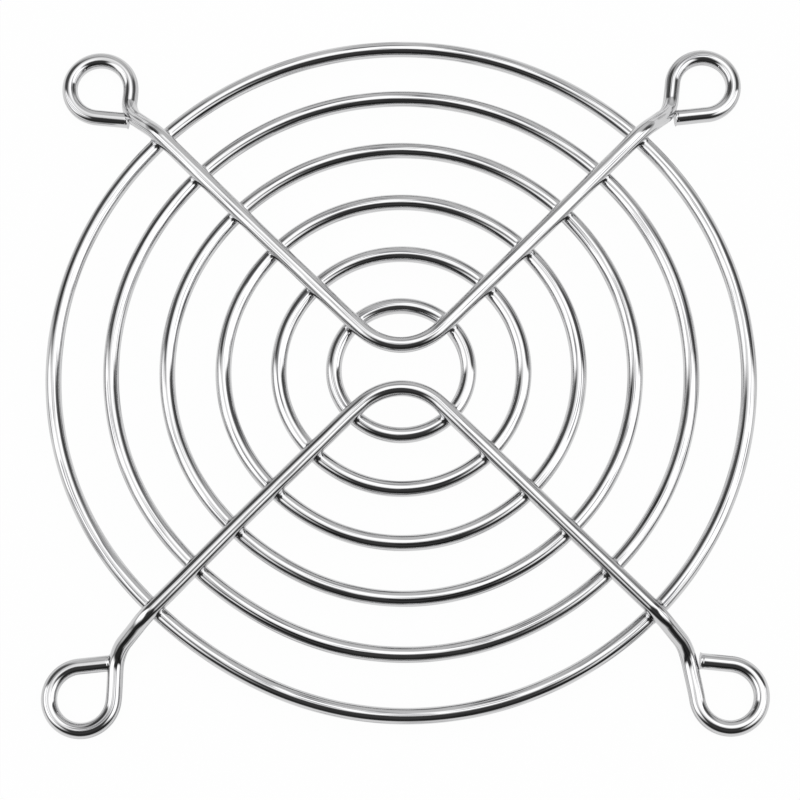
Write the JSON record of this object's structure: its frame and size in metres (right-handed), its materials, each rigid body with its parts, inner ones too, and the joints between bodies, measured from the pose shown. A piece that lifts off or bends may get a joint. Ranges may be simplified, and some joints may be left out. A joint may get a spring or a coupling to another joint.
{
  "type": "fan_guard",
  "caption": "Finger guard of concentric round wire rings welded to two V-shaped support wires that end in open screw eyes, in bright chromed steel",
  "frame": {"origin": "middle of the guard on the plane of the fan face, at the underside of the four screw eyes", "axes": "+Z points away from the fan, out of the guard; +X and +Y are parallel to the sides of the fan, with the V of upper_support_wire opening towards +Y"},
  "size_m": [0.0804, 0.0804, 0.006],
  "materials": {
    "wire": "polished bright plating over drawn steel wire"
  },
  "bodies": {
    "root": {"upper_support_wire": "wire", "lower_support_wire": "wire", "ring_1": "wire", "ring_2": "wire", "ring_3": "wire", "ring_4": "wire", "ring_5": "wire", "ring_6": "wire"}
  },
  "joints": []
}
